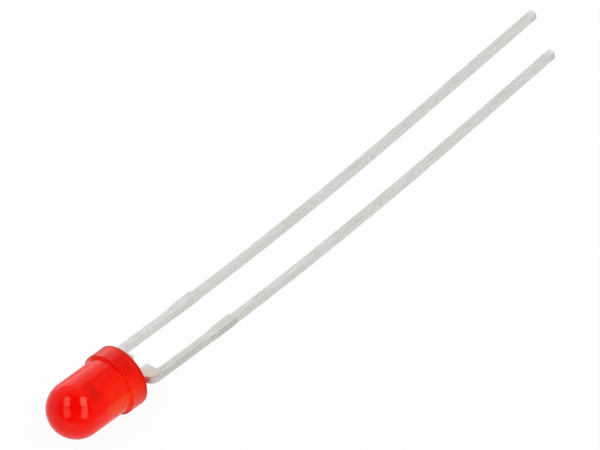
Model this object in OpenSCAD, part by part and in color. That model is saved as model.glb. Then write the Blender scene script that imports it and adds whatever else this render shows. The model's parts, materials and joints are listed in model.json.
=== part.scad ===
// Round through hole LED, 3 mm size, red diffused, lying on a table as it comes to rest.
// The pieces are drawn standing: underside of the flange on the XY plane, dome up, leads down,
// anode at +Y and cathode at -Y. lay_down() then tips the finished LED over, so that +X runs
// from the dome to the lead tips and the bent tails of the leads lie flat on the table.

/* [Lens] */
// Diameter of the barrel and of the dome
lens_d = 2.9; // [2.6:0.05:3.1]
// Length of the straight barrel, from the flange to the start of the dome
barrel_l = 2.2; // [1.8:0.1:3]
// Diameter of the flange
flange_d = 3.22; // [3.1:0.02:4]
// Thickness of the flange
flange_h = 1; // [0.6:0.05:1.5]
// Chamfer on both rims of the flange
flange_chamfer = 0.05; // [0.02:0.01:0.08]

/* [Leads] */
// Distance between the two leads, centre to centre
lead_pitch = 2.54; // [2.2:0.02:3]
// Width of a lead, across the lead frame
lead_w = 0.4; // [0.3:0.02:0.5]
// Thickness of the sheet that the leads are stamped from
lead_t = 0.4; // [0.3:0.02:0.5]
// Length of the anode lead below the flange
anode_l = 30.5; // [24:0.5:34]
// Length of the cathode lead below the flange
cathode_l = 29; // [24:0.5:34]
// Chamfer on the corners of a sheared lead tip
tip_chamfer = 0.07; // [0.02:0.01:0.12]

/* [Feet] */
// Gap between the two posts where they leave the flange
post_gap = 0.8; // [0.6:0.02:1]
// Width of each post where it leaves the flange
post_w = 0.6; // [0.5:0.02:0.8]
// Length of the wide foot below the flange
foot_l = 1.2; // [1:0.05:1.4]
// Depth below the flange at which the foot starts to widen
elbow_top = 0.36; // [0.2:0.02:0.45]
// Depth below the flange at which the foot reaches the outer edge of the lead
elbow_low = 0.62; // [0.5:0.02:0.9]
// Radius of the rounded outer shoulder of the foot
shoulder_r = 0.42; // [0.1:0.02:0.6]
// Fillet between the foot and the lead
foot_fillet = 0.15; // [0.05:0.01:0.25]

/* [Tie bar stubs] */
// Depth below the flange at which the cut tie bar starts
stub_start = 4.6; // [3:0.1:8]
// Length of the cut tie bar along the lead
stub_l = 1.75; // [1.4:0.05:3]
// Height of the cut stub beyond the edge of a lead, on the anode's side of it
stub_h = 0.09; // [0.04:0.01:0.2]
// Height of the little that the cut leaves on the other side
stub_low_h = 0.025; // [0.01:0.005:0.08]
// Length of the ramp at the upper end of the stub
stub_ramp = 0.55; // [0.1:0.05:0.7]
// Length of the ramp at the lower end of the stub
stub_step = 0.2; // [0.1:0.05:0.4]

/* [Bend] */
// Depth below the flange at which the leads start to curve
bend_start = 1.5; // [0:0.1:4]
// Radius of the curve that brings the leads down to the table
bend_r = 174; // [80:2:220]

/* [Lead frame inside the lens] */
// Height of the rim of the reflector cup above the underside of the flange
cup_z = 2.6; // [2.4:0.05:2.8]
// Diameter of the round head that holds the reflector cup
head_d = 0.95; // [0.9:0.01:1.1]
// Height of the straight part of the head
head_h = 0.4; // [0.35:0.01:0.5]
// Height of the cone that carries the head
head_cone_h = 0.3; // [0.2:0.01:0.35]
// Diameter of the reflector cup at its rim
cup_d = 0.75; // [0.7:0.01:0.8]
// Diameter of the floor of the reflector cup
cup_floor_d = 0.5; // [0.46:0.01:0.6]
// Depth of the reflector cup
cup_depth = 0.25; // [0.2:0.01:0.3]
// Width of the strip under the head
neck_w = 0.6; // [0.5:0.01:0.66]
// Height at which the cathode strip has moved over to the axis
neck_z = 1.5; // [1.3:0.05:1.6]
// Height over which the cathode strip moves from its post to the axis
flare_h = 0.5; // [0.3:0.05:0.7]
// Height of the top of the anode post, where the wire is bonded
land_z = 2.45; // [2.2:0.05:2.6]
// Width of the top of the anode post
land_w = 0.4; // [0.3:0.01:0.5]
// Gap between the head and the anode post
head_gap = 0.15; // [0.1:0.01:0.2]

/* [Chip] */
// Side of the square light emitting die
die_w = 0.26; // [0.2:0.01:0.3]
// Height of the die
die_h = 0.2; // [0.15:0.01:0.25]
// Diameter of the adhesive pad under the die
pad_d = 0.4; // [0.38:0.01:0.44]
// Thickness of the adhesive pad
pad_h = 0.03; // [0.02:0.01:0.05]
// Diameter of the bond wire
wire_d = 0.03; // [0.025:0.005:0.05]
// Height of the wire's loop above a straight line between its two ends
loop_h = 0.3; // [0.2:0.02:0.5]
// Diameter of the ball that bonds the wire to the die
ball_d = 0.09; // [0.07:0.01:0.12]
// Height of that ball, and of the stitch at the wire's other end
ball_h = 0.025; // [0.02:0.005:0.04]

/* [Hidden] */
$fn = 96;

resin_red = [0.86, 0.07, 0.05];
tinned = [0.78, 0.78, 0.77];
strip_in_head = 0.1;

lens_r = lens_d / 2;
flange_r = flange_d / 2;
dome_z = flange_h + barrel_l;

post_in = post_gap / 2;
post_out = post_in + post_w;
lead_in = (lead_pitch - lead_w) / 2;
lead_out = (lead_pitch + lead_w) / 2;
stub_end = stub_start + stub_l;
shoulder_turn = atan2(elbow_low - elbow_top, post_out - lead_out) - 90;
shoulder_steps = 6;

head_r = head_d / 2;
head_z = cup_z - head_h;
neck_r = neck_w / 2;
land_in = head_r + head_gap;
land_out = land_in + land_w;
land_step = 0.2;
fillet_steps = 6;

pad_z = cup_z - cup_depth;
die_z = pad_z + pad_h;
wire_start = [0, die_z + die_h];
wire_end = [(land_in + land_out) / 2, land_z];
wire_sides = 8;
wire_steps = 16;

// The LED rests on the lower rim of its flange and on the level tails of its leads.
// With that rim and the underside of the tails both on the table, the tilt t solves
// (flange_r + bend_r) cos t - (bend_start + flange_chamfer) sin t = bend_r + lead_t / 2.
rest_arm = [flange_r + bend_r, bend_start + flange_chamfer];
tilt = acos((bend_r + lead_t / 2) / norm(rest_arm)) - atan2(rest_arm[1], rest_arm[0]);
base_z = flange_r * cos(tilt) - flange_chamfer * sin(tilt);
bend_drop = bend_r * (1 - cos(tilt));
bend_end = bend_start + bend_r * sin(tilt);
tail_l = (max(anode_l, cathode_l) - bend_end) / cos(tilt) + lead_t;
sheet_w = 2 * (lead_out + stub_h) + lead_w;
sheet_rise = bend_drop + tail_l * sin(tilt);
bend_steps = 24;

// Where the two ends of the laid LED come, seen from the middle of the flange's underside
tip_x = function (l) l * cos(tilt)
    + (bend_drop + (l - bend_end) * tan(tilt) + lead_t / 2 / cos(tilt)) * sin(tilt);
nose_x = -dome_z * cos(tilt) - lens_r;
middle_x = (max(tip_x(anode_l), tip_x(cathode_l)) + nose_x) / 2;

// Points on an arc, both ends included
function arc(centre, r, from, to, steps) =
    [for (i = [0:steps]) let (a = from + (to - from) * i / steps) centre + r * [cos(a), sin(a)]];

// Outer edge of a stub, down the lead or up it
function stub(edge, out) = [
    [edge, -stub_start],
    [edge + out, -stub_start - stub_ramp],
    [edge + out, -stub_end + stub_step],
    [edge, -stub_end]
];

function backwards(list) = [for (i = [len(list) - 1:-1:0]) list[i]];

// Outline of a lead below the flange: down its inner edge to the tip and up its outer edge,
// with the heights of the stub on both
function leg(l, inner_h, outer_h) = concat(
    [[post_in, -foot_l]],
    arc([lead_in - foot_fillet, -foot_l - foot_fillet], foot_fillet, 90, 0, fillet_steps),
    stub(lead_in, -inner_h),
    [
        [lead_in, -l + tip_chamfer],
        [lead_in + tip_chamfer, -l],
        [lead_out - tip_chamfer, -l],
        [lead_out, -l + tip_chamfer]
    ],
    backwards(stub(lead_out, outer_h)),
    arc([lead_out - shoulder_r, -elbow_low - shoulder_r * tan(shoulder_turn / 2)],
        shoulder_r, 0, shoulder_turn, shoulder_steps),
    [[post_out, -elbow_top]]
);

// Top of the anode post, from its outer edge round to its inner edge
anode_top = [
    [post_out, neck_z - land_step],
    [land_out, neck_z],
    [land_out, land_z],
    [land_in, land_z],
    [land_in, neck_z],
    [post_in, neck_z - land_step]
];

// Top of the cathode strip, which flares over to the axis and runs up into the head
cathode_top = [
    [post_out, neck_z],
    [neck_r, head_z],
    [neck_r, head_z + strip_in_head],
    [-neck_r, head_z + strip_in_head],
    [-neck_r, neck_z],
    [post_in, neck_z - flare_h]
];

module lay_down() {
    translate([-middle_x, 0, base_z])
        rotate([0, tilt - 90, 0])
            children();
}

// One face of the sheet in side view, as [depth below the flange, height], h from its mid plane
function sheet_face(h) =
    let (bend = arc([bend_start, bend_r], bend_r - h, -90, tilt - 90, bend_steps))
    concat([[-cup_z, h]], bend, [bend[bend_steps] + tail_l * [cos(tilt), sin(tilt)]]);

// The sheet that both leads are cut from: flat, then curved, then flat again
module bent_sheet() {
    rotate([90, 90, 0])
        translate([0, 0, -sheet_w / 2])
            linear_extrude(sheet_w)
                polygon(concat(sheet_face(lead_t / 2), backwards(sheet_face(-lead_t / 2))));
}

// A lead stamped out of the bent sheet along an outline
module stamped(outline) {
    intersection() {
        bent_sheet();
        rotate([90, 0, 90])
            translate([0, 0, -lead_t])
                linear_extrude(sheet_rise + 2 * lead_t)
                    polygon(outline);
    }
}

module anode_metal() {
    stamped(concat(leg(anode_l, stub_low_h, stub_h), anode_top));
}

// Cathode strip with its coined head and the reflector cup in it
module cathode_metal() {
    difference() {
        union() {
            mirror([0, 1, 0])
                stamped(concat(leg(cathode_l, stub_h, stub_low_h), cathode_top));
            translate([0, 0, head_z])
                cylinder(r = head_r, h = head_h);
            translate([0, 0, head_z - head_cone_h])
                cylinder(r1 = lead_t / 2, r2 = head_r, h = head_cone_h);
        }
        translate([0, 0, pad_z])
            cylinder(d1 = cup_floor_d, d2 = cup_d, h = cup_depth);
    }
}

module die_block() {
    translate([-die_w / 2, -die_w / 2, die_z])
        cube([die_w, die_w, die_h]);
}

module pad_disc() {
    translate([0, 0, pad_z])
        cylinder(d = pad_d, h = pad_h);
}

// A place on the wire's loop, as [y, z], and the loop's direction there
function loop_at(t) =
    let (from = wire_start + [0, ball_h], to = wire_end + [0, ball_h])
    from + (to - from) * t + [0, 4 * loop_h * t * (1 - t)];
function loop_dir(t) =
    t == 0 ? [0, 1] : t == 1 ? [0, -1] :
    let (d = wire_end - wire_start + [0, 4 * loop_h * (1 - 2 * t)]) d / norm(d);

// One ring of points round the wire
function ring(at, dir, d) =
    [for (i = [0:wire_sides - 1])
        let (a = 360 * i / wire_sides, across = [-dir[1], dir[0]] * d / 2 * cos(a))
        [d / 2 * sin(a), at[0] + across[0], at[1] + across[1]]];

wire_rings = concat(
    [ring(wire_start, [0, 1], ball_d), ring(loop_at(0), [0, 1], ball_d)],
    [for (i = [0:wire_steps]) ring(loop_at(i / wire_steps), loop_dir(i / wire_steps), wire_d)],
    [ring(loop_at(1), [0, -1], ball_d), ring(wire_end, [0, -1], ball_d)]
);

// Wire swept through its rings, with flat ends on the die and on the anode post
module wire_sweep() {
    last = len(wire_rings) - 1;
    polyhedron(
        points = [for (r = wire_rings) for (p = r) p],
        faces = concat(
            [[for (i = [0:wire_sides - 1]) i]],
            [for (r = [0:last - 1]) for (i = [0:wire_sides - 1])
                let (j = (i + 1) % wire_sides, a = r * wire_sides, b = a + wire_sides)
                each [[a + j, a + i, b + i], [a + j, b + i, b + j]]],
            [[for (i = [wire_sides - 1:-1:0]) last * wire_sides + i]]
        )
    );
}

// Half section of the moulding: flange with chamfered rims, straight barrel, round dome
module moulding_section() {
    square([lens_r, dome_z]);
    translate([0, dome_z])
        intersection() {
            circle(r = lens_r);
            square(lens_r);
        }
    polygon([
        [0, 0],
        [flange_r - flange_chamfer, 0],
        [flange_r, flange_chamfer],
        [flange_r, flange_h - flange_chamfer],
        [flange_r - flange_chamfer, flange_h],
        [0, flange_h]
    ]);
}

module lens() {
    color(resin_red)
        lay_down()
            difference() {
                rotate_extrude()
                    moulding_section();
                cathode_metal();
                anode_metal();
                die_block();
                pad_disc();
                wire_sweep();
            }
}

module cathode_lead() {
    color(tinned)
        lay_down()
            cathode_metal();
}

module anode_lead() {
    color(tinned)
        lay_down()
            anode_metal();
}

module led_die() {
    color([0.35, 0.33, 0.36])
        lay_down()
            die_block();
}

module die_attach() {
    color([0.7, 0.7, 0.68])
        lay_down()
            pad_disc();
}

module bond_wire() {
    color([0.85, 0.65, 0.2])
        lay_down()
            wire_sweep();
}

lens();
cathode_lead();
anode_lead();
led_die();
die_attach();
bond_wire();
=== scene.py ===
# %% [markdown]
# # A red LED with two long leads
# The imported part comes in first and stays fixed: it holds the exact solids of the LED, in metres, as it
# lies on the table. Its lens mesh is coarse and its leads have sharp edges, so both get a finer
# stand-in here. The chip, its adhesive and its bond wire are sealed in the lens and stay as they are.

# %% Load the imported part
import json
import math
import bmesh
import bpy
from mathutils import Matrix, Quaternion, Vector


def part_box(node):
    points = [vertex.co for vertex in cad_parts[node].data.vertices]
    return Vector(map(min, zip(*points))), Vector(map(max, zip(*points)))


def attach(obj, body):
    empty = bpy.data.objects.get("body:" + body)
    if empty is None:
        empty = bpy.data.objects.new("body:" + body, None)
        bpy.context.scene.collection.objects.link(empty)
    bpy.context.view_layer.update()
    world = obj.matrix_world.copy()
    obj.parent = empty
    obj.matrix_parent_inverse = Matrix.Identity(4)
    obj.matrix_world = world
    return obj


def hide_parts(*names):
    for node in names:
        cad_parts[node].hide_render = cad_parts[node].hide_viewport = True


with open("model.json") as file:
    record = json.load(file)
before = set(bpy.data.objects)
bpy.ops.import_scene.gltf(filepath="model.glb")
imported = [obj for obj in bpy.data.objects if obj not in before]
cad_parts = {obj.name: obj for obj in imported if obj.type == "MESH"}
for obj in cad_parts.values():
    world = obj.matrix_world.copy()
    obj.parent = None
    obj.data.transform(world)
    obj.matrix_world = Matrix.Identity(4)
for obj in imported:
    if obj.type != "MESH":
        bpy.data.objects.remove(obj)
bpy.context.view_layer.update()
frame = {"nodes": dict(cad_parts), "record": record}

MM = 0.001

# %% [markdown]
# ## Where the LED lies
# A drawing of an LED is easiest along its own axis: flange underside at zero, leads along +X, dome
# along -X, the leads side by side in Y. The real one lies tipped, with the flange rim and the tails of
# the leads on the table. The record's barrel mount tells how far it is tipped and where it is, so each
# piece is drawn straight and laid down at the end. All sizes below are in millimetres.

# %% Read the resting place
FLANGE_H, FLANGE_R = 1.0, 1.61
barrel = next(m for m in frame["record"]["mounts"] if m["name"] == "lens_barrel")
BARREL_R, BARREL_L = barrel["dims"]["r_mm"], barrel["dims"]["length_mm"]
nose_way = Vector(barrel["axis"]).normalized()
tilt = math.atan2(nose_way.z, -nose_way.x)
base = Vector(barrel["pos_m"]) - nose_way * (FLANGE_H + BARREL_L / 2) * MM
print("tipped by", round(math.degrees(tilt), 3), "degrees; middle of the flange's underside, mm:",
      [round(v / MM, 3) for v in base])

# %% [markdown]
# ## Choosing by place
# With a mouse, faces and edges are chosen by clicking. In a script they are chosen by what is known
# about them: where their middle is, which way they face, or whether they are on an open rim. One helper
# does this for all pieces. It gives the test each item and the place of its middle in millimetres. An
# operator acts on all that is chosen, so a piece is made the only chosen one before it is shaped.

# %% Choose a piece, and items in it
CLOSE = 0.01  # places that are nearer than this count as the same


def choose(piece):
    """Makes a piece the only chosen one."""
    bpy.ops.object.select_all(action="DESELECT")
    piece.select_set(True)
    bpy.context.view_layer.objects.active = piece


def shape_up(piece):
    """Chooses a piece and opens it in edit mode."""
    choose(piece)
    bpy.ops.object.mode_set(mode="EDIT")


def pick(piece, kind, test):
    """Selects the vertices, edges or faces that pass the test, in edit mode, and returns how many."""
    bpy.ops.mesh.select_mode(type=kind)
    bpy.ops.mesh.select_all(action="DESELECT")
    mesh = bmesh.from_edit_mesh(piece.data)
    mesh.normal_update()
    items = {"VERT": mesh.verts, "EDGE": mesh.edges, "FACE": mesh.faces}[kind]
    count = 0
    for item in items:
        corners = [item] if kind == "VERT" else item.verts
        middle = sum((v.co for v in corners), Vector()) / len(corners) / MM
        if test(item, middle):
            item.select_set(True)
            count += 1
    mesh.select_flush_mode()
    bmesh.update_edit_mesh(piece.data)
    return count


def open_edges(piece):
    """Selects the edges that don't lie between two faces, and returns how many."""
    return pick(piece, "EDGE", lambda edge, at: len(edge.link_faces) != 2)


print("items are picked by place, to", CLOSE, "mm")

# %% [markdown]
# ## The dome
# The lens is cast upside down in a polished cup: the round end of the cup gives the dome. A ball cut in
# half gives that form exactly, and its poles lie on the LED's axis, so every ring of the mesh is a
# circle round it. Bisect cuts the ball at its middle and clears the half towards the leads.

# %% Cut a ball in half
DOME_X = -(FLANGE_H + BARREL_L)
SAME_POINT = 1e-8  # metres
bpy.ops.object.select_all(action="DESELECT")
bpy.ops.mesh.primitive_uv_sphere_add(segments=128, ring_count=64, radius=BARREL_R * MM,
                                     location=(DOME_X * MM, 0, 0), rotation=(0, math.pi / 2, 0))
lens_body = bpy.context.object
lens_body.name = lens_body.data.name = "lens_body"
bpy.ops.object.transform_apply(location=True, rotation=True, scale=True)
shape_up(lens_body)
bpy.ops.mesh.select_all(action="SELECT")
bpy.ops.mesh.bisect(plane_co=(DOME_X * MM, 0, 0), plane_no=(1, 0, 0), clear_outer=True,
                    threshold=SAME_POINT)
print("dome rim:", open_edges(lens_body), "edges")

# %% [markdown]
# ## Barrel, flange and underside
# The rest of the lens is round too, so the open rim of the dome is drawn on: extruded to a new place
# along the axis and scaled to a new radius, again and again. The underside is the free surface of the
# resin in its mould, which shrinks as it cures, so it is drawn as a very shallow dish in many rings. A
# spin of a half section would do as well, but this way the dome's own rings run on without a seam.

# %% Draw the rim on
DISH, DISH_RINGS, DISH_POWER = 0.04, 28, 4


def draw_rim(rim, x, radius):
    """Extrudes the chosen rim to a new place on the axis and scales it to a new radius."""
    bpy.ops.mesh.extrude_region_move(TRANSFORM_OT_translate={"value": ((x - rim[0]) * MM, 0, 0)})
    ratio = radius / rim[1]
    bpy.ops.transform.resize(value=(1, ratio, ratio), center_override=(x * MM, 0, 0))
    rim[:] = x, radius


rim = [DOME_X, BARREL_R]
for x, radius in ((-FLANGE_H, BARREL_R), (-FLANGE_H, FLANGE_R), (0, FLANGE_R)):
    draw_rim(rim, x, radius)
for ring in range(1, DISH_RINGS):
    radius = FLANGE_R * (1 - ring / DISH_RINGS)
    draw_rim(rim, -DISH * (1 - (radius / FLANGE_R) ** DISH_POWER), radius)
bpy.ops.mesh.merge(type="CENTER")
bpy.ops.mesh.select_all(action="SELECT")
bpy.ops.mesh.remove_doubles(threshold=SAME_POINT)
bpy.ops.mesh.normals_make_consistent(inside=False)
print("lens:", len(bmesh.from_edit_mesh(lens_body.data).faces), "faces; open edges:", open_edges(lens_body))

# %% [markdown]
# ## Resin that climbs the leads
# While it is liquid, the resin wets the leads and creeps a little way up them, and it keeps that collar
# when it cures. Each pass takes the points of the underside that are nearer to a post than the last
# pass did and lifts them some more, so the steps add up to a small hollow curve round each post.

# %% Lift the collars
POST_IN, POST_OUT, SHEET_T = 0.4, 1.0, 0.4
UNDERSIDE_X, UNDERSIDE_R = -0.1, 1.5
COLLAR_STEPS = ((0.30, 0.006), (0.24, 0.008), (0.18, 0.012), (0.13, 0.018), (0.08, 0.03), (0.04, 0.04))


def on_underside(at):
    """True for the free surface of the resin, inside the flange's rim."""
    return at.x > UNDERSIDE_X and math.hypot(at.y, at.z) < UNDERSIDE_R


def gap_to_post(at):
    """Distance from a point of the underside to the nearer post's section."""
    return math.hypot(max(0, POST_IN - abs(at.y), abs(at.y) - POST_OUT),
                      max(0, abs(at.z) - SHEET_T / 2))


for reach, lift in COLLAR_STEPS:
    lifted = pick(lens_body, "VERT", lambda point, at: on_underside(at) and gap_to_post(at) < reach)
    bpy.ops.transform.translate(value=(lift * MM, 0, 0))
print("points in the innermost pass:", lifted)

# %% [markdown]
# ## Soft rims
# Resin can't fill a sharp corner of its mould, so the flange has rounded rims, and a small hollow where
# it meets the barrel. These edges are full circles at a known place and radius. Bevel rounds an outer
# edge and fills an inner one alike.


# %% Round the rims
def ring_at(x, radius):
    """A test for the edges that run round the axis at a place and radius."""
    def on_ring(edge, at):
        level = abs(edge.verts[0].co.x - edge.verts[1].co.x) < SAME_POINT
        return level and abs(at.x - x) < CLOSE and abs(math.hypot(at.y, at.z) - radius) < CLOSE
    return on_ring


for x, radius, soft in ((0, FLANGE_R, 0.07), (-FLANGE_H, FLANGE_R, 0.06), (-FLANGE_H, BARREL_R, 0.05)):
    count = pick(lens_body, "EDGE", ring_at(x, radius))
    bpy.ops.mesh.bevel(offset=soft * MM, segments=5, affect="EDGES")
    print("rim at", x, "radius", radius, ":", count, "edges rounded by", soft, "mm")
bpy.ops.object.mode_set(mode="OBJECT")

# %% [markdown]
# ## Laid down and polished
# The lens is drawn, so it is tipped over to where the LED lies. The turn and the move go into its mesh,
# because a finished piece sits unturned at the origin. Smooth shading then hides the facets, but it
# also makes flats look bent next to a rounded edge. A Weighted Normal modifier mends that: wide faces
# keep their own direction. It does nothing on faces as small as these, so for that moment the piece is
# a thousand times larger.


# %% Lay the lens down
def lay_down(piece):
    """Tips a piece that was drawn straight over to where the LED lies, and leaves that in its mesh."""
    choose(piece)
    piece.rotation_euler = (0, tilt, 0)
    piece.location = base
    bpy.ops.object.transform_apply(location=True, rotation=True, scale=True)


def enlarge(piece, factor):
    """Makes a piece's mesh larger or smaller about the origin."""
    piece.scale = Vector((1, 1, 1)) * factor
    bpy.ops.object.transform_apply(location=False, rotation=False, scale=True)


def polish(piece, sharp):
    """Smooth shading up to an angle in degrees, in which wide faces keep their own direction."""
    choose(piece)
    bpy.ops.object.shade_smooth_by_angle(angle=math.radians(sharp))
    enlarge(piece, 1 / MM)
    piece.modifiers.new("flats", "WEIGHTED_NORMAL").keep_sharp = True
    bpy.ops.object.modifier_apply(modifier="flats")
    enlarge(piece, MM)


lay_down(lens_body)
polish(lens_body, sharp=40)
print("lowest point of the lens, mm:", round(min(v.co.z for v in lens_body.data.vertices) / MM, 4))

# %% [markdown]
# ## One leg, drawn flat
# Both leads are stamped from one sheet, before the resin is cast. Flat, each is a strip that changes
# width: the post that stands in the resin, the wide foot that stops the LED at the board, the thin
# lead, and a short wider place where a tie bar held the strip and was cut. A plane is the start, and
# its end is drawn on from station to station, as the rim was. The foot is split along the lead's inner
# edge first.

# %% Start the post and the foot
PITCH, LEAD_W = 2.54, 0.4
LEAD_IN, LEAD_OUT = (PITCH - LEAD_W) / 2, (PITCH + LEAD_W) / 2
POST_TOP, SLOPE_X, SHOULDER_X, FOOT_L = -1.0, 0.36, 0.62, 1.2


def draw_strip(end, x, inner, outer):
    """Extrudes the chosen end of a flat strip to a new station, moved and scaled to its new width."""
    middle, before = (inner + outer) / 2, (end[1] + end[2]) / 2
    bpy.ops.mesh.extrude_region_move(
        TRANSFORM_OT_translate={"value": ((x - end[0]) * MM, (middle - before) * MM, 0)})
    bpy.ops.transform.resize(value=(1, (outer - inner) / (end[2] - end[1]), 1),
                             center_override=(x * MM, middle * MM, 0))
    end[:] = x, inner, outer


bpy.ops.object.select_all(action="DESELECT")
bpy.ops.mesh.primitive_plane_add(size=MM)
anode = bpy.context.object
anode.name = anode.data.name = "anode_lead_tinned"
anode.scale = (SLOPE_X - POST_TOP, POST_OUT - POST_IN, 1)
anode.location = ((POST_TOP + SLOPE_X) / 2 * MM, (POST_IN + POST_OUT) / 2 * MM, 0)
bpy.ops.object.transform_apply(location=True, rotation=True, scale=True)
shape_up(anode)
pick(anode, "EDGE", lambda edge, at: at.x > SLOPE_X - CLOSE)
end = [SLOPE_X, POST_IN, POST_OUT]
draw_strip(end, SHOULDER_X, POST_IN, LEAD_OUT)
draw_strip(end, FOOT_L, POST_IN, LEAD_OUT)
bpy.ops.mesh.select_all(action="SELECT")
bpy.ops.mesh.bisect(plane_co=(0, LEAD_IN * MM, 0), plane_no=(0, 1, 0), threshold=SAME_POINT)
print("end of the foot that the lead leaves from:",
      pick(anode, "EDGE", lambda edge, at: at.x > FOOT_L - CLOSE and at.y > LEAD_IN), "edge")

# %% [markdown]
# ## The long lead
# The stations down the lead are those of its later bend, so that the strip can curve there, and those
# of the tie bar stub, where it gets wider. The punch that cuts the tie bars sat a little to one side,
# so the stub stands out on the anode's side of a lead and hardly at all on the other. It has a long
# ramp at its upper end and a short one at its lower end. A lead's reach is counted along the LED's
# axis, so the flat strip is a little longer than that.

# %% Draw the lead on to its tip
STUB = (4.6, 5.15, 6.15, 6.35)
STUB_HIGH, STUB_LOW = 0.09, 0.025
BEND_START, BEND_R, BEND_STEPS = 1.5, 174.0, 24
ANODE_REACH, CATHODE_SHORTER = 30.5, 1.5
bend_len = BEND_R * tilt
tail_len = (ANODE_REACH - BEND_START - BEND_R * math.sin(tilt)) / math.cos(tilt)
ANODE_TIP = BEND_START + bend_len + tail_len
CATHODE_TIP = ANODE_TIP - CATHODE_SHORTER / math.cos(tilt)
bends = [BEND_START + bend_len * (k + 0.5) / BEND_STEPS for k in range(BEND_STEPS)]
stations = sorted([*bends, *STUB, ANODE_TIP])


def stub_at(x):
    """The share of the stub's full height that stands at a station."""
    return max(0, min(1, (x - STUB[0]) / (STUB[1] - STUB[0]), (STUB[3] - x) / (STUB[3] - STUB[2])))


end = [FOOT_L, LEAD_IN, LEAD_OUT]
for x in stations:
    draw_strip(end, x, LEAD_IN - STUB_LOW * stub_at(x), LEAD_OUT + STUB_HIGH * stub_at(x))
bpy.ops.object.mode_set(mode="OBJECT")
print("anode strip:", len(anode.data.polygons), "faces; flat length below the flange, mm:",
      round(ANODE_TIP, 3))

# %% [markdown]
# ## The cathode is the same strip, turned over
# The leg below the flange is stamped alike on both sides, so the strip is copied, with a mesh of its
# own, and mirrored in Y. Its tip is then drawn back: the shorter lead marks the cathode. The stub alone
# isn't mirrored, as one punch cut both, so its stations are moved back to the anode's side. Mirroring
# turns the faces over, so their normals are made consistent again before the strip gets its thickness.

# %% Copy, mirror and shorten
choose(anode)
bpy.ops.object.duplicate(linked=False)
cathode = bpy.context.object
cathode.name = cathode.data.name = "cathode_lead_tinned"
shape_up(cathode)
bpy.ops.mesh.select_all(action="SELECT")
bpy.ops.transform.resize(value=(1, -1, 1), center_override=(0, 0, 0))
bpy.ops.mesh.normals_make_consistent(inside=False)
moved = pick(cathode, "VERT", lambda point, at: at.x > ANODE_TIP - CLOSE)
bpy.ops.transform.translate(value=((CATHODE_TIP - ANODE_TIP) * MM, 0, 0))
for x in stations:
    if stub_at(x) > 0:
        pick(cathode, "VERT", lambda point, at: abs(at.x - x) < CLOSE)
        bpy.ops.transform.translate(value=(0, (STUB_HIGH - STUB_LOW) * stub_at(x) * MM, 0))
bpy.ops.object.mode_set(mode="OBJECT")
print(moved, "points drawn back to", round(CATHODE_TIP, 3), "mm")

# %% [markdown]
# ## The two tops inside the lens
# Sealed in the resin, the cathode strip leans over to the axis to carry the chip, and the anode strip
# steps out to clear it and ends in a flat land for the wire. They can't be seen through this clouded
# resin, but they are the part's real shape, and the same drawing-on makes them.

# %% Draw the tops on
CATHODE_TOP = ((-1.5, 0.3, -POST_OUT), (-2.2, 0.3, -0.3), (-2.3, 0.3, -0.3))
ANODE_TOP = ((-1.3, POST_IN, POST_OUT), (-1.5, 0.625, 1.025), (-2.45, 0.625, 1.025))
for piece, side, top in ((cathode, -1, CATHODE_TOP), (anode, 1, ANODE_TOP)):
    shape_up(piece)
    pick(piece, "EDGE", lambda edge, at: at.x < POST_TOP + CLOSE)
    end = [POST_TOP, side * POST_IN, side * POST_OUT]
    for x, inner, outer in top:
        draw_strip(end, x, inner, outer)
    bpy.ops.object.mode_set(mode="OBJECT")
    print(piece.name, "has", len(piece.data.polygons), "faces")

# %% [markdown]
# ## Sheet thickness and stamped edges
# Solidify gives the flat strip the thickness of the sheet, half to each side. A stamping punch leaves
# rounded corners in plan: a fillet where the lead leaves the foot, a wide shoulder on the foot's outer
# side, and a blunt tip. It also leaves a rolled edge on the side that it enters, while the other side
# stays sharper. The corners are the upright edges of the strip, so bevel takes those first, and then
# the long edges, the upper ones wider than the lower ones.

# %% Tell the edges of a strip apart
CORNER_ANGLE, ROLL_ANGLE = math.radians(12), math.radians(60)


def upright(test):
    """A test for upright edges of the outline, where the plan turns a corner."""
    return lambda edge, at: (abs(at.z) < CLOSE and len(edge.link_faces) == 2
                             and edge.calc_face_angle(0) > CORNER_ANGLE and test(at))


def corner_at(*places):
    """A test for upright edges at places along and out from the axis, on either lead."""
    return upright(lambda at: any(math.hypot(at.x - x, abs(at.y) - y) < CLOSE for x, y in places))


def rolled(side):
    """A test for the long edges between the flat of the sheet and its cut sides, above or below."""
    return lambda edge, at: (at.z * side > SHEET_T / 2 - CLOSE and len(edge.link_faces) == 2
                             and edge.calc_face_angle(0) > ROLL_ANGLE)


print("a corner turns by more than", round(math.degrees(CORNER_ANGLE)), "degrees")


# %% Thicken the strips and round their edges
def stamp(piece, tip):
    """Gives a flat strip its thickness and the edges that the punch leaves."""
    sheet = piece.modifiers.new("sheet", "SOLIDIFY")
    sheet.thickness, sheet.offset = SHEET_T * MM, 0
    choose(piece)
    bpy.ops.object.modifier_apply(modifier="sheet")
    shape_up(piece)
    for what, test, soft, steps in (
            ("fillet", corner_at((FOOT_L, LEAD_IN)), 0.15, 6),
            ("tip", upright(lambda at: at.x > tip - CLOSE), 0.09, 4),
            ("foot's corners", corner_at((SLOPE_X, POST_OUT), (FOOT_L, POST_IN)), 0.05, 3),
            ("shoulder", corner_at((SHOULDER_X, LEAD_OUT)), 0.25, 8),
            ("edges above", rolled(1), 0.055, 4),
            ("edges below", rolled(-1), 0.03, 3)):
        count = pick(piece, "EDGE", test)
        bpy.ops.mesh.bevel(offset=soft * MM, segments=steps, affect="EDGES")
        print(piece.name, what, ":", count, "rounded by", soft, "mm")
    bpy.ops.object.mode_set(mode="OBJECT")


stamp(anode, ANODE_TIP)
stamp(cathode, CATHODE_TIP)

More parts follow.
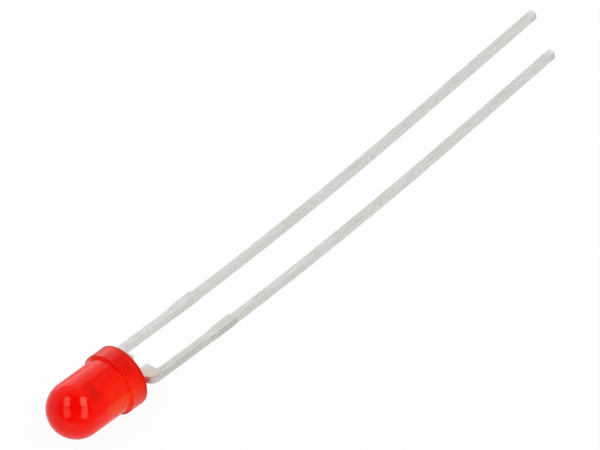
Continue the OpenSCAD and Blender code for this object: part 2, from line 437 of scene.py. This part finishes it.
# %% [markdown]
# ## The bend
# The leads of a loose LED are never quite straight: these curve gently upwards from the foot on, seen
# along the LED's own axis, until their tails lie level. A Simple Deform modifier could bend them, but a
# bend between two stations is clearer by hand: at each station all that lies beyond it turns by the
# same small angle, about that station. With no window the turn runs the other way, so its sign is
# reversed here.


# %% Curve the leads
def bend(piece):
    """Turns a lead station by station until its tail lies level."""
    shape_up(piece)
    step = tilt / BEND_STEPS
    at, turned, before = Vector(), 0.0, 0.0
    for station in bends:
        way = Vector((math.cos(turned), 0, math.sin(turned)))
        at += way * (station - before)
        pick(piece, "VERT", lambda point, place: (place - at).dot(way) > CLOSE)
        bpy.ops.transform.rotate(value=step, orient_axis="Y", center_override=at * MM)
        turned, before = turned + step, station
    bpy.ops.object.mode_set(mode="OBJECT")
    highest = max(v.co.z for v in piece.data.vertices) / MM
    print(piece.name, "turned by", round(math.degrees(turned), 3), "degrees; its tip rises to",
          round(highest, 3), "mm")


bend(anode)
bend(cathode)

# %% [markdown]
# ## The head with the reflector cup
# The top of the cathode strip is upset into a round head, and a coining punch presses a small conical
# cup into it for the chip. A cylinder is the start: its upper end is inset and pressed in, and its
# lower end is drawn out to a cone, both with the helper that drew the rim of the lens.

# %% Turn and press the head
HEAD_R, HEAD_TOP, HEAD_LOW = 0.475, -2.6, -2.2
CUP_R, CUP_FLOOR_R, CUP_DEPTH = 0.375, 0.25, 0.25
CONE_LOW, CONE_R = -1.9, SHEET_T / 2
bpy.ops.object.select_all(action="DESELECT")
bpy.ops.mesh.primitive_cylinder_add(
    vertices=48, radius=HEAD_R * MM, depth=(HEAD_LOW - HEAD_TOP) * MM,
    location=((HEAD_TOP + HEAD_LOW) / 2 * MM, 0, 0), rotation=(0, math.pi / 2, 0))
head = bpy.context.object
head.name = "cup_head"
bpy.ops.object.transform_apply(location=True, rotation=True, scale=True)
shape_up(head)
pick(head, "FACE", lambda face, at: at.x < HEAD_TOP + CLOSE)
bpy.ops.mesh.inset(thickness=(HEAD_R - CUP_R) * MM)
draw_rim([HEAD_TOP, CUP_R], HEAD_TOP + CUP_DEPTH, CUP_FLOOR_R)
pick(head, "FACE", lambda face, at: at.x > HEAD_LOW - CLOSE)
draw_rim([HEAD_LOW, HEAD_R], CONE_LOW, CONE_R)
bpy.ops.object.mode_set(mode="OBJECT")
print("head:", len(head.data.polygons), "faces")

# %% [markdown]
# ## One piece of metal
# Head and strip are one piece, so a Boolean union joins them. Where their faces nearly meet it leaves
# slivers with no area, and merging points that are a ten-thousandth of a millimetre apart clears those.
# Then both leads are laid down as the lens was, and their boxes compared with those of the packed
# solids.

# %% Join the head to the cathode strip
MERGE_GAP = 1e-7  # metres
join = cathode.modifiers.new("head", "BOOLEAN")
join.operation, join.solver, join.object = "UNION", "EXACT", head
choose(cathode)
bpy.ops.object.modifier_apply(modifier="head")
bpy.data.objects.remove(head)
shape_up(cathode)
bpy.ops.mesh.select_all(action="SELECT")
bpy.ops.mesh.remove_doubles(threshold=MERGE_GAP)
print("open edges after the join:", open_edges(cathode))
bpy.ops.object.mode_set(mode="OBJECT")

# %% Lay the leads down
for piece, node in ((anode, "anode_lead"), (cathode, "cathode_lead")):
    lay_down(piece)
    polish(piece, sharp=35)
    low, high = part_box(node)
    off = [round((limit(v.co[i] for v in piece.data.vertices) - corner[i]) / MM, 3)
           for limit, corner in ((min, low), (max, high)) for i in range(3)]
    print(piece.name, len(piece.data.polygons), "faces; box less the solid's, mm:", off)

# %% [markdown]
# ## Who stands for what
# Each new piece rides on the part's one body and stands for its imported solid, which is then not shown.

# %% Hand the pieces to the part
for piece, node, finish in ((lens_body, "lens", "lens"), (anode, "anode_lead", "leads"),
                            (cathode, "cathode_lead", "leads")):
    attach(piece, "root")
    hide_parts(node)
    print(piece.name, "stands for", node)

# %% [markdown]
# ## Shader sums as plain Python
# A material is a net of nodes. Wiring each sum by hand hides what it says, so one small class wraps a
# socket: adding or multiplying two of them adds the Math node, and `node` makes any other kind.


# %% A socket that can be reckoned with
class Shade:
    """One output in a material's node tree."""

    def __init__(self, tree, socket=None):
        self.tree, self.socket = tree, socket

    def node(self, kind, settings=(), sockets=(), out=0):
        """Adds a node: its settings first, then the values or links of its sockets."""
        made = self.tree.nodes.new(kind)
        for name, value in dict(settings).items():
            setattr(made, name, value)
        for name, value in dict(sockets).items():
            if isinstance(value, Shade):
                self.tree.links.new(value.socket, made.inputs[name])
            else:
                made.inputs[name].default_value = value
        return Shade(self.tree, made.outputs[out])

    def feed(self, shader, name):
        """Links this output to a shader's socket."""
        self.tree.links.new(self.socket, shader.inputs[name])

    def math(self, operation, a, b=0.0):
        return self.node("ShaderNodeMath", {"operation": operation}, {0: a, 1: b})

    def __add__(self, other):
        return self.math("ADD", self, other)

    def __sub__(self, other):
        return self.math("SUBTRACT", self, other)

    def __rsub__(self, other):
        return self.math("SUBTRACT", other, self)

    def __mul__(self, other):
        return self.math("MULTIPLY", self, other)

    __radd__, __rmul__ = __add__, __mul__


print("sockets can be added, subtracted and multiplied")

# %% [markdown]
# ## Masks, colours and places
# A finish is painted with a few kinds of nodes again and again. A mask is a number from 0 to 1 that
# rises softly between two limits, and a band falls again further on. A colour lies between two colours.
# All patterns read Object coordinates, in millimetres, so they stay on the piece wherever it goes.


# %% Helpers for masks and colours
def stepped(value, low, high):
    """0 below low and 1 above high, with a soft change between them."""
    return value.node("ShaderNodeMapRange", {"interpolation_type": "SMOOTHSTEP"},
                      {"Value": value, "From Min": low, "From Max": high})


def band(value, rise, fall):
    """1 between two pairs of limits: it rises softly between the first two and falls between the others."""
    return stepped(value, *rise) * (1 - stepped(value, *fall))


def mixed(factor, low, high):
    """A colour between two colours."""
    return factor.node("ShaderNodeMix", {"data_type": "RGBA"}, {0: factor, 6: low, 7: high}, out=2)


def noise(place, scale, detail, roughness=0.5):
    """Cloudy noise, with so many lumps to the millimetre."""
    return place.node("ShaderNodeTexNoise", {}, {"Vector": place, "Scale": scale, "Detail": detail,
                                                 "Roughness": roughness})


def new_finish(name, settings):
    """A material with a Principled shader, its constants set on its own sockets."""
    material = bpy.data.materials.new(name)
    material.use_nodes = True
    shader = material.node_tree.nodes["Principled BSDF"]
    for socket, value in settings.items():
        shader.inputs[socket].default_value = value
    return material, shader, Shade(material.node_tree)


def paint(piece, material):
    """Gives a piece one finish in place of any that it has."""
    piece.data.materials.clear()
    piece.data.materials.append(material)
    print(piece.name, "is painted with", material.name, ":", len(material.node_tree.nodes), "nodes")


print("helpers for masks and colours are ready")


# %% Helpers for places
def in_mm(start, stretch=(1, 1, 1)):
    """Object coordinates in millimetres, drawn out along an axis where stretch is below 1."""
    place = start.node("ShaderNodeTexCoord", out="Object")
    return start.node("ShaderNodeMapping", {}, {"Vector": place, "Scale": [k / MM for k in stretch]})


def towards(vector, way):
    """How far a vector reaches in a direction."""
    return vector.node("ShaderNodeVectorMath", {"operation": "DOT_PRODUCT"}, {0: vector, 1: way}, out=1)


def on_axis(start):
    """Millimetres from the middle of the flange's underside: along the LED's axis, across it and above it."""
    from_base = start.node("ShaderNodeVectorMath", {"operation": "SUBTRACT"},
                           {0: in_mm(start), 1: base / MM})
    ways = -nose_way, Vector((0, 1, 0)), Vector((math.sin(tilt), 0, math.cos(tilt)))
    return [towards(from_base, way) for way in ways]


print("places are counted from", [round(v, 3) for v in base / MM], "mm")

# %% [markdown]
# ## Red diffused resin
# The lens is clear red epoxy, clouded with a fine white powder that scatters the chip's light. Light
# therefore goes some way into it and comes out red, which subsurface scattering gives: red travels a
# millimetre or so, green and blue die at once. A clear resin was tried too and looked less like the
# photograph. The colour wavers a little where the powder has settled.

# %% Mix the resin
resin, shader, start = new_finish("red_diffused_resin", {
    "Subsurface Weight": 1.0, "Subsurface Radius": (1.0, 0.16, 0.08), "Subsurface Scale": 1.3 * MM,
    "IOR": 1.52, "Specular IOR Level": 0.25, "Specular Tint": (1.0, 0.98, 0.78, 1)})
place = in_mm(start)
cloud = noise(place, scale=1.6, detail=4.0, roughness=0.6)
powder = noise(place, scale=26.0, detail=2.0, roughness=0.7)
settled = stepped(cloud * 0.75 + powder * 0.25, 0.32, 0.68)
print("resin mixed:", resin.name)

# %% [markdown]
# ## Painted light and shade in the resin
# The LED lies on white paper, and the light that comes up through the lower side of the lens is painted
# into its colour: it is brightest there, with a painted warm glow along the barrel. The chip and its cup
# are painted as a dim heart of shade, the nose of the dome is deeper in colour, and the flange is painted
# darker, with painted shade on its rims, at the low end of its seam and where it nears the floor, and a
# painted highlight in the seam. The stand-in can't be seen through, so these are masks. They are set by
# place: along the axis, from 0 at the flange's underside to -4.65 at the tip of the dome, by the distance
# from the axis, and by how far a place lies on the low side.

# %% Find the painted light
LOW_ACROSS, LOW_DOWN = 0.767, 0.64
along, across, height = on_axis(start)
radius = start.math("SQRT", across * across + height * height)
rear_round, front_round = stepped(radius, 1.48, 1.55), stepped(radius, 1.53, 1.56)
low_side = -LOW_ACROSS * across - LOW_DOWN * height
on_flange = stepped(along, -1.05, -0.95)
# painted light: the light from the paper that comes up through the lower barrel, painted into the red
painted_lit_through = (stepped(along, -2.7, -2.0) * (1 - stepped(along, -0.9, -0.3) * 0.4)
               * stepped(low_side - on_flange * 0.4, -0.45, 0.3))
# painted light: a warm glow along the lower barrel, painted into the red
painted_glow = (stepped(along, -2.8, -2.3) * (1 - stepped(along, -1.05, -0.85) * 0.6)
        * stepped(low_side, 0.68, 0.95))
nose = (1 - stepped(along, -3.75, -3.35)) * (1 - stepped(low_side, 0.2, 0.9))
# painted light: the low side of the lens is painted brighter, where the light from the paper falls
painted_lit_low_edge = stepped(low_side, 0.3, 0.8)
# painted highlight: a pale sliver in the seam, on the anode's side
painted_highlight_sliver = band(along, (-1.07, -1.03), (-0.97, -0.9)) * (1 - front_round) * stepped(across, 1.0, 1.25)
print("nodes for the light places:", len(resin.node_tree.nodes))

# %% Find the painted shade
# painted shade: the chip and its cup, as a dim heart in the barrel
painted_shade_heart = band(along, (-3.2, -2.85), (-2.75, -2.4)) * band(low_side, (-0.75, -0.35), (0.1, 0.6))
# painted shade: the flange is darker, except where the painted light comes through
painted_shade_flange = stepped(along, -1.15, -0.9) * (1 - painted_lit_through)
# painted shadow: the low side of the flange, where it nears the floor
painted_contact_shadow = on_flange * stepped(low_side, 0.75, 1.15) * (stepped(along, -0.8, -0.5) * 0.1 + 0.1)
# painted shade: a dark line on the rear rim of the flange
painted_shade_rear_rim = stepped(along, -0.28, -0.08) * rear_round
# painted shade: a dark line on the front rim of the flange, on the anode's side
painted_shade_front_rim = band(along, (-1.01, -0.99), (-0.95, -0.86)) * front_round * stepped(across, 0.5, 1.1)
# painted shade: the low end of the seam between barrel and flange
shaded_seam = band(along, (-1.08, -1.0), (-0.98, -0.9)) * stepped(-1 * height, 0.7, 1.3)
# all the painted shade together
painted_shade = painted_shade_heart * 0.25 + painted_shade_flange * 0.2 + painted_contact_shadow + (painted_shade_rear_rim + painted_shade_front_rim + shaded_seam) * 0.6
print("nodes with the dark places:", len(resin.node_tree.nodes))

# %% [markdown]
# ## The reds
# Each place has a red of its own, as a pair: where the powder is thin, and where it has settled. Deep
# resin has hardly any green, and the painted light leans towards orange. The pairs are laid over each
# other by the masks, and the painted shade and the painted highlight at the seam come last.

# %% Colour the resin
DEEP_RED = (0.83, 0.0028, 0.0008, 1), (0.93, 0.0070, 0.0020, 1)
NOSE_RED = (0.84, 0.0015, 0.0005, 1), (0.94, 0.0042, 0.0010, 1)
PAINTED_LOW_LIT_RED = (0.97, 0.0028, 0.0006, 1), (1.0, 0.0060, 0.0014, 1)
PAINTED_LIT_RED = (1.0, 0.011, 0.0008, 1), (1.0, 0.017, 0.0014, 1)
PAINTED_GLOW_RED = (1.0, 0.034, 0.0010, 1), (1.0, 0.052, 0.002, 1)
PAINTED_SHADE_RED, PAINTED_HIGHLIGHT_PINK = (0.36, 0.0030, 0.0008, 1), (1.0, 0.42, 0.36, 1)
red = mixed(settled, *DEEP_RED)
# the deeper nose, then the painted light: the low side, the light through the barrel and the warm glow
for mask, pair in ((nose, NOSE_RED), (painted_lit_low_edge, PAINTED_LOW_LIT_RED), (painted_lit_through, PAINTED_LIT_RED), (painted_glow, PAINTED_GLOW_RED)):
    red = mixed(mask, red, mixed(settled, *pair))
# painted shade darkens the red
red = mixed(painted_shade, red, PAINTED_SHADE_RED)
# painted highlight: the pale sliver in the seam
red = mixed(painted_highlight_sliver * 0.6, red, PAINTED_HIGHLIGHT_PINK)
red.feed(shader, "Base Color")
print("nodes with the reds:", len(resin.node_tree.nodes))

# %% [markdown]
# ## The resin's skin
# The mould is polished, so the surface shines, with a trace of haze and of the powder under it. At the
# mouth of the mould, round the rear rim of the flange, it is duller. Noise gives the haze in roughness
# and in relief.

# %% Polish the resin
haze = noise(place, scale=3.0, detail=6.0, roughness=0.65)
mouth = stepped(along, -0.5, -0.2) * rear_round
(stepped(haze, 0.35, 0.75) * 0.02 + 0.012 + mouth * 0.3).feed(shader, "Roughness")
skin = start.node("ShaderNodeBump", {}, {"Strength": 0.03, "Distance": 0.004 * MM,
                                         "Height": haze * 0.8 + powder * 0.2})
skin.feed(shader, "Normal")
paint(lens_body, resin)

# %% [markdown]
# ## Tinned leads
# The leads are steel with a thin coat of tin: a pale grey with a satin shine. Rolling leaves fine lines
# along the sheet, so their noise is drawn out along X, the way that the leads run. The punch leaves
# short upright marks on the cut sides, so theirs is drawn out along Z. Handling leaves dull patches.
# What is flat and what is cut is told by the way that the surface faces.

# %% Draw the lines and the patches
tin, shader, start = new_finish("satin_tin", {"Metallic": 1.0})
place = in_mm(start)
lines = noise(in_mm(start, (0.5, 14, 14)), scale=1.0, detail=5.0, roughness=0.62)
burr = noise(in_mm(start, (16, 16, 2)), scale=1.0, detail=4.0, roughness=0.6)
grain = noise(place, scale=14.0, detail=4.0, roughness=0.7)
worn = stepped(noise(place, scale=0.7, detail=5.0, roughness=0.6), 0.42, 0.66)
tone = stepped(lines * 0.55 + grain * 0.45, 0.3, 0.7)
cut_tone = stepped(burr * 0.6 + grain * 0.4, 0.3, 0.7)
print("tin begun:", tin.name)

# %% Tell the faces of a lead apart
facing = start.node("ShaderNodeTexCoord", out="Normal")
forward, upward = (start.node("ShaderNodeSeparateXYZ", {}, {0: facing}, out=name) for name in ("X", "Z"))
flat = start.math("ABSOLUTE", upward)
sheared = 1 - stepped(flat, 0.25, 0.7)
rolled_edge = band(flat, (0.2, 0.45), (0.8, 0.97))
# the end faces of the tips, which get painted shade
tip_end = stepped(forward, 0.2, 0.6)
print("nodes for the faces:", len(tin.node_tree.nodes))

# %% [markdown]
# ## Marks of making and handling, and painted light
# The tips get a painted highlight on their top and painted shade on their sides and ends. The cut tie
# bars are rough and dull, more so on the cathode. Near the foot the cathode is a little stained. And a
# film of resin has crept on to both feet: pale red on the flats and deep red on the cut sides, partly its
# own colour and partly a painted reflection of the red lens.

# %% Find the marks
along, across = on_axis(start)[:2]
on_anode = stepped(across, -0.1, 0.1)
CATHODE_REACH = ANODE_REACH - CATHODE_SHORTER
# near the tips, where the painted highlight and the painted shade go
near_tip = stepped(along - on_anode * CATHODE_SHORTER, CATHODE_REACH - 0.55, CATHODE_REACH - 0.15)
at_stub = band(along, (STUB[0] - 0.1, STUB[0] + 0.05), (STUB[3] - 0.05, STUB[3] + 0.1))
rough_stub = at_stub * (1 - cut_tone) * (1 - on_anode * 0.7)
stained = (1 - stepped(along, 2.0, 7.0)) * stepped(-1 * across, 0.3, 0.9)
creep = noise(place, scale=4.0, detail=3.0, roughness=0.6)
# a film of resin on the feet, partly its own colour and partly a painted reflection of the red lens
film_and_reflection = 1 - stepped(along + creep * 0.5 + sheared * 0.35, 0.92, 1.15)
print("nodes with the marks:", len(tin.node_tree.nodes))

# %% Colour the tin
SHEET_GREY = (0.775, 0.77, 0.78, 1), (0.965, 0.961, 0.97, 1)
WORN_GREY = (0.725, 0.725, 0.69, 1), (0.91, 0.911, 0.875, 1)
# painted light: the cut sides are painted paler than the flats, to make up for the light that they lack
CUT_GREY_WITH_PAINTED_LIGHT = (0.84, 0.838, 0.825, 1), (1.0, 0.998, 0.985, 1)
STAIN = (0.60, 0.58, 0.54, 1), (0.86, 0.84, 0.80, 1)
FILM_FLAT_AND_REFLECTION, FILM_CUT_AND_REFLECTION = ((0.66, 0.46, 0.37, 1), (0.96, 0.70, 0.60, 1)), (0.46, 0.06, 0.07, 1)
TIP_PAINTED_HIGHLIGHT, TIP_PAINTED_SHADE, TIP_END_PAINTED_SHADE = (1.0, 0.995, 1.0, 1), (0.74, 0.735, 0.72, 1), (0.58, 0.575, 0.55, 1)
STUB_GREY, ROLLED_GREY = (0.66, 0.635, 0.58, 1), (0.70, 0.698, 0.685, 1)
sheet = mixed(worn, mixed(tone, *SHEET_GREY), mixed(tone, *WORN_GREY))
# painted highlight on the top of the tips
sheet = mixed(near_tip * 0.7, sheet, TIP_PAINTED_HIGHLIGHT)
cut = mixed(cut_tone, *CUT_GREY_WITH_PAINTED_LIGHT)
# painted shade on the ends and sides of the tips; the rough dull stubs are their own colour
for mask, grey in ((tip_end * 0.6, TIP_END_PAINTED_SHADE), (near_tip * 0.7, TIP_PAINTED_SHADE), (rough_stub, STUB_GREY)):
    cut = mixed(mask, cut, grey)
plated = mixed(rolled_edge * 0.2, mixed(sheared, sheet, cut), ROLLED_GREY)
plated = mixed(stained * 0.5, plated, mixed(tone, *STAIN))
# pale red on the flats and deep red on the cut sides: the film's colour and a painted reflection of the red
# lens
film_and_reflection_red = mixed(sheared, mixed(tone, *FILM_FLAT_AND_REFLECTION), FILM_CUT_AND_REFLECTION)
mixed(film_and_reflection * 0.85, plated, film_and_reflection_red).feed(shader, "Base Color")
print("nodes with the greys:", len(tin.node_tree.nodes))

# %% [markdown]
# ## Shine and relief of the tin
# Lines, worn patches and rolled edges scatter the light, and the film of resin smooths it. The same
# noises stand up as relief: lines and grain on the flats, the punch's marks on the cut sides.

# %% Give the tin its shine
(tone * 0.1 + worn * 0.08 + rolled_edge * 0.3 + 0.48 - film_and_reflection * 0.15).feed(shader, "Roughness")
relief = start.node("ShaderNodeBump", {}, {
    "Strength": 0.3, "Distance": 0.008 * MM,
    "Height": (lines * 0.6 + grain * 0.4) * (1 - sheared) + burr * sheared})
relief.feed(shader, "Normal")
for piece in (anode, cathode):
    paint(piece, tin)

# %% [markdown]
# ## Chip, adhesive and wire
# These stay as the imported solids. The chip is sawn from a dark wafer, the adhesive is epoxy full of
# silver flakes, and the wire is drawn gold. One recipe with three settings serves all of them.


# %% Finish the sealed pieces
def small_finish(name, node, colours, scale, metallic, rough):
    """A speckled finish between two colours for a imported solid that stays."""
    material, shader, start = new_finish(name, {"Metallic": metallic})
    speck = stepped(noise(in_mm(start), scale, detail=4.0), 0.35, 0.65)
    mixed(speck, *colours).feed(shader, "Base Color")
    (speck * 0.15 + rough).feed(shader, "Roughness")
    paint(frame["nodes"][node], material)


small_finish("sawn_wafer", "led_die", ((0.10, 0.085, 0.09, 1), (0.22, 0.19, 0.19, 1)),
             scale=18, metallic=0.3, rough=0.3)
small_finish("silver_epoxy", "die_attach", ((0.52, 0.52, 0.50, 1), (0.74, 0.74, 0.72, 1)),
             scale=40, metallic=0.8, rough=0.4)
small_finish("drawn_gold", "bond_wire", ((0.83, 0.56, 0.16, 1), (0.95, 0.72, 0.30, 1)),
             scale=60, metallic=1.0, rough=0.2)

# %% [markdown]
# ## The camera
# The photograph was taken with a long lens, from above and from the dome's side, with the camera rolled
# a little. These few values come from fitting the LED's outline in the picture: direction, roll and
# focal length, and a small shift of the aim. The camera's three axes also place the lamps.

# %% Set the camera
AZIMUTH, ELEVATION, ROLL = math.radians(-41.0744), math.radians(44.6175), math.radians(-9.5038)
FAR, FOCAL, SENSOR = 0.6, 757.3, 36
AIM_HEIGHT, AIM_LEFT, AIM_DOWN = 1.0, 0.4003, 0.0590
back = Vector((math.sin(AZIMUTH) * math.cos(ELEVATION), -math.cos(AZIMUTH) * math.cos(ELEVATION),
               math.sin(ELEVATION)))
turn = Quaternion(back, ROLL) @ (-back).to_track_quat("-Z", "Y")
right, up = turn @ Vector((1, 0, 0)), turn @ Vector((0, 1, 0))
aim = Vector((0, 0, AIM_HEIGHT * MM)) - right * AIM_LEFT * MM - up * AIM_DOWN * MM
bpy.ops.object.select_all(action="DESELECT")
bpy.ops.object.camera_add(location=aim + back * FAR, rotation=turn.to_euler())
camera = bpy.context.object
camera.data.lens, camera.data.sensor_width = FOCAL, SENSOR
bpy.context.scene.camera = camera
print("camera at", [round(v, 4) for v in camera.location])

# %% [markdown]
# ## The lamps
# The dome mirrors the studio: two tall soft boxes, left and right of the camera, each with a dark bar
# across it, show as four pale windows. Area lamps stand at those angles, each a half of a soft box, and
# lean as its sides do. Their strength is given as the brightness of their face, where 1 is as bright as
# white paper in the picture.

# %% Stand the soft boxes
LAMP_WHITE = (1.0, 0.985, 0.92)


def soft_box(name, side, height, wide, tall, lean, bright):
    """A lamp a metre away, at these angles from the camera's axis, with a face of this brightness."""
    h, v = math.radians(side), math.radians(height)
    way = back * (math.cos(h) * math.cos(v)) + right * (math.sin(h) * math.cos(v)) + up * math.sin(v)
    across = Quaternion(way, math.radians(lean)) @ up.cross(way).normalized()
    facing = Matrix((across, way.cross(across), way)).transposed()
    bpy.ops.object.light_add(type="AREA", location=way, rotation=facing.to_euler())
    lamp = bpy.context.object
    lamp.name, lamp.visible_camera = name, False
    lamp.data.shape, lamp.data.size, lamp.data.size_y = "RECTANGLE", wide, tall
    lamp.data.energy, lamp.data.color = bright * math.pi * wide * tall, LAMP_WHITE
    print(name, "at", [round(c, 2) for c in lamp.location], round(lamp.data.energy, 2), "W")


soft_box("soft_box_upper_left", side=-37.7, height=24.9, wide=0.45, tall=0.68, lean=10, bright=2.7)
soft_box("soft_box_upper_right", side=30.6, height=24.8, wide=0.44, tall=0.65, lean=-4, bright=4.1)
soft_box("soft_box_lower_left", side=-35.3, height=-14.4, wide=0.45, tall=0.56, lean=-4, bright=1.6)
soft_box("soft_box_lower_right", side=32.8, height=-17.0, wide=0.44, tall=0.65, lean=3.5, bright=2.7)

# %% [markdown]
# ## The floor
# The picture has a plain white ground. To the camera the floor is mostly white by itself, and the rest
# of its look is lit in the usual way, so the LED's soft shadow stays. In reflections it is less than
# white, as paper is next to a lamp, and it gets dimmer some millimetres in front of the LED.

# %% Lay the floor
NEAR_EDGE, FAR_EDGE = 4.5, 8.0
MIRRORED, MIRRORED_LOSS, OWN_LIGHT = 0.68, 0.6, 0.94
BLACK, WHITE, PAPER = (0, 0, 0, 1), (1, 1, 1, 1), (0.92, 0.92, 0.92, 1)


def seen_by(start, *kinds):
    """1 for rays of the named kinds and 0 for others."""
    rays = [start.node("ShaderNodeLightPath", out=kind) for kind in kinds]
    seen = rays[0]
    for ray in rays[1:]:
        seen = start.math("MAXIMUM", seen, ray)
    return seen


bpy.ops.object.select_all(action="DESELECT")
bpy.ops.mesh.primitive_plane_add(size=6)
floor = bpy.context.object
floor.name = "floor"
paper = bpy.data.materials.new("white_ground")
paper.use_nodes = True
paper.node_tree.nodes.remove(paper.node_tree.nodes["Principled BSDF"])
start = Shade(paper.node_tree)
in_front = start.node("ShaderNodeSeparateXYZ", {}, {0: in_mm(start)}, out="Y") * -1
nearness = 1 - stepped(in_front, NEAR_EDGE, FAR_EDGE) * MIRRORED_LOSS
level = start.math("MAXIMUM", seen_by(start, "Is Camera Ray", "Is Transmission Ray"), nearness * MIRRORED)
lit = start.node("ShaderNodeBsdfDiffuse", {}, {"Color": PAPER})
white = start.node("ShaderNodeEmission", {}, {"Color": mixed(level, BLACK, WHITE)})
seen = seen_by(start, "Is Camera Ray", "Is Glossy Ray", "Is Transmission Ray")
ground = start.node("ShaderNodeMixShader", {}, {0: seen * OWN_LIGHT, 1: lit, 2: white})
ground.feed(paper.node_tree.nodes["Material Output"], "Surface")
paint(floor, paper)

# %% [markdown]
# ## The surroundings
# The barrel mirrors a bright wall as a pale band along its upper side, with a darker strip next to it.
# The wall lies on the anode's side, and the band ends where the dome begins. The rest of the sky is a
# soft haze that is dimmest round the camera, and it gives the LED its even fill. A picture of a studio
# would need a file, so wall, strip and haze are masks on the direction of a ray. To the camera the sky
# is white.

# %% Set the world
LEADS_WAY, LEFT_WAY = Vector((0.780, -0.157, -0.606)).normalized(), Vector((0, 1, 0))
world = bpy.data.worlds.new("studio")
bpy.context.scene.world = world
world.use_nodes = True
start = Shade(world.node_tree)
ray_way = start.node("ShaderNodeTexCoord", out="Generated")
left = towards(ray_way, LEFT_WAY)
past_dome = stepped(towards(ray_way, LEADS_WAY), -0.07, -0.02)
wall = past_dome * stepped(left, 0.24, 0.31)
strip = past_dome * stepped(left, 0.06, 0.15)
haze = 1 - stepped(towards(ray_way, back), -0.1, 0.75)
wall_light = wall * (left * left * 1.8 + 0.6)
haze_light = haze * (0.82 - 0.2 * seen_by(start, "Is Glossy Ray")) + 0.05
fill = wall_light + (1 - wall) * (1 - strip * 0.48) * haze_light
sky = world.node_tree.nodes["Background"]
sky.inputs["Color"].default_value = WHITE
start.math("MAXIMUM", seen_by(start, "Is Camera Ray", "Is Transmission Ray"), fill).feed(sky, "Strength")
bpy.context.scene.view_settings.view_transform = "Standard"
print("world nodes:", len(world.node_tree.nodes))
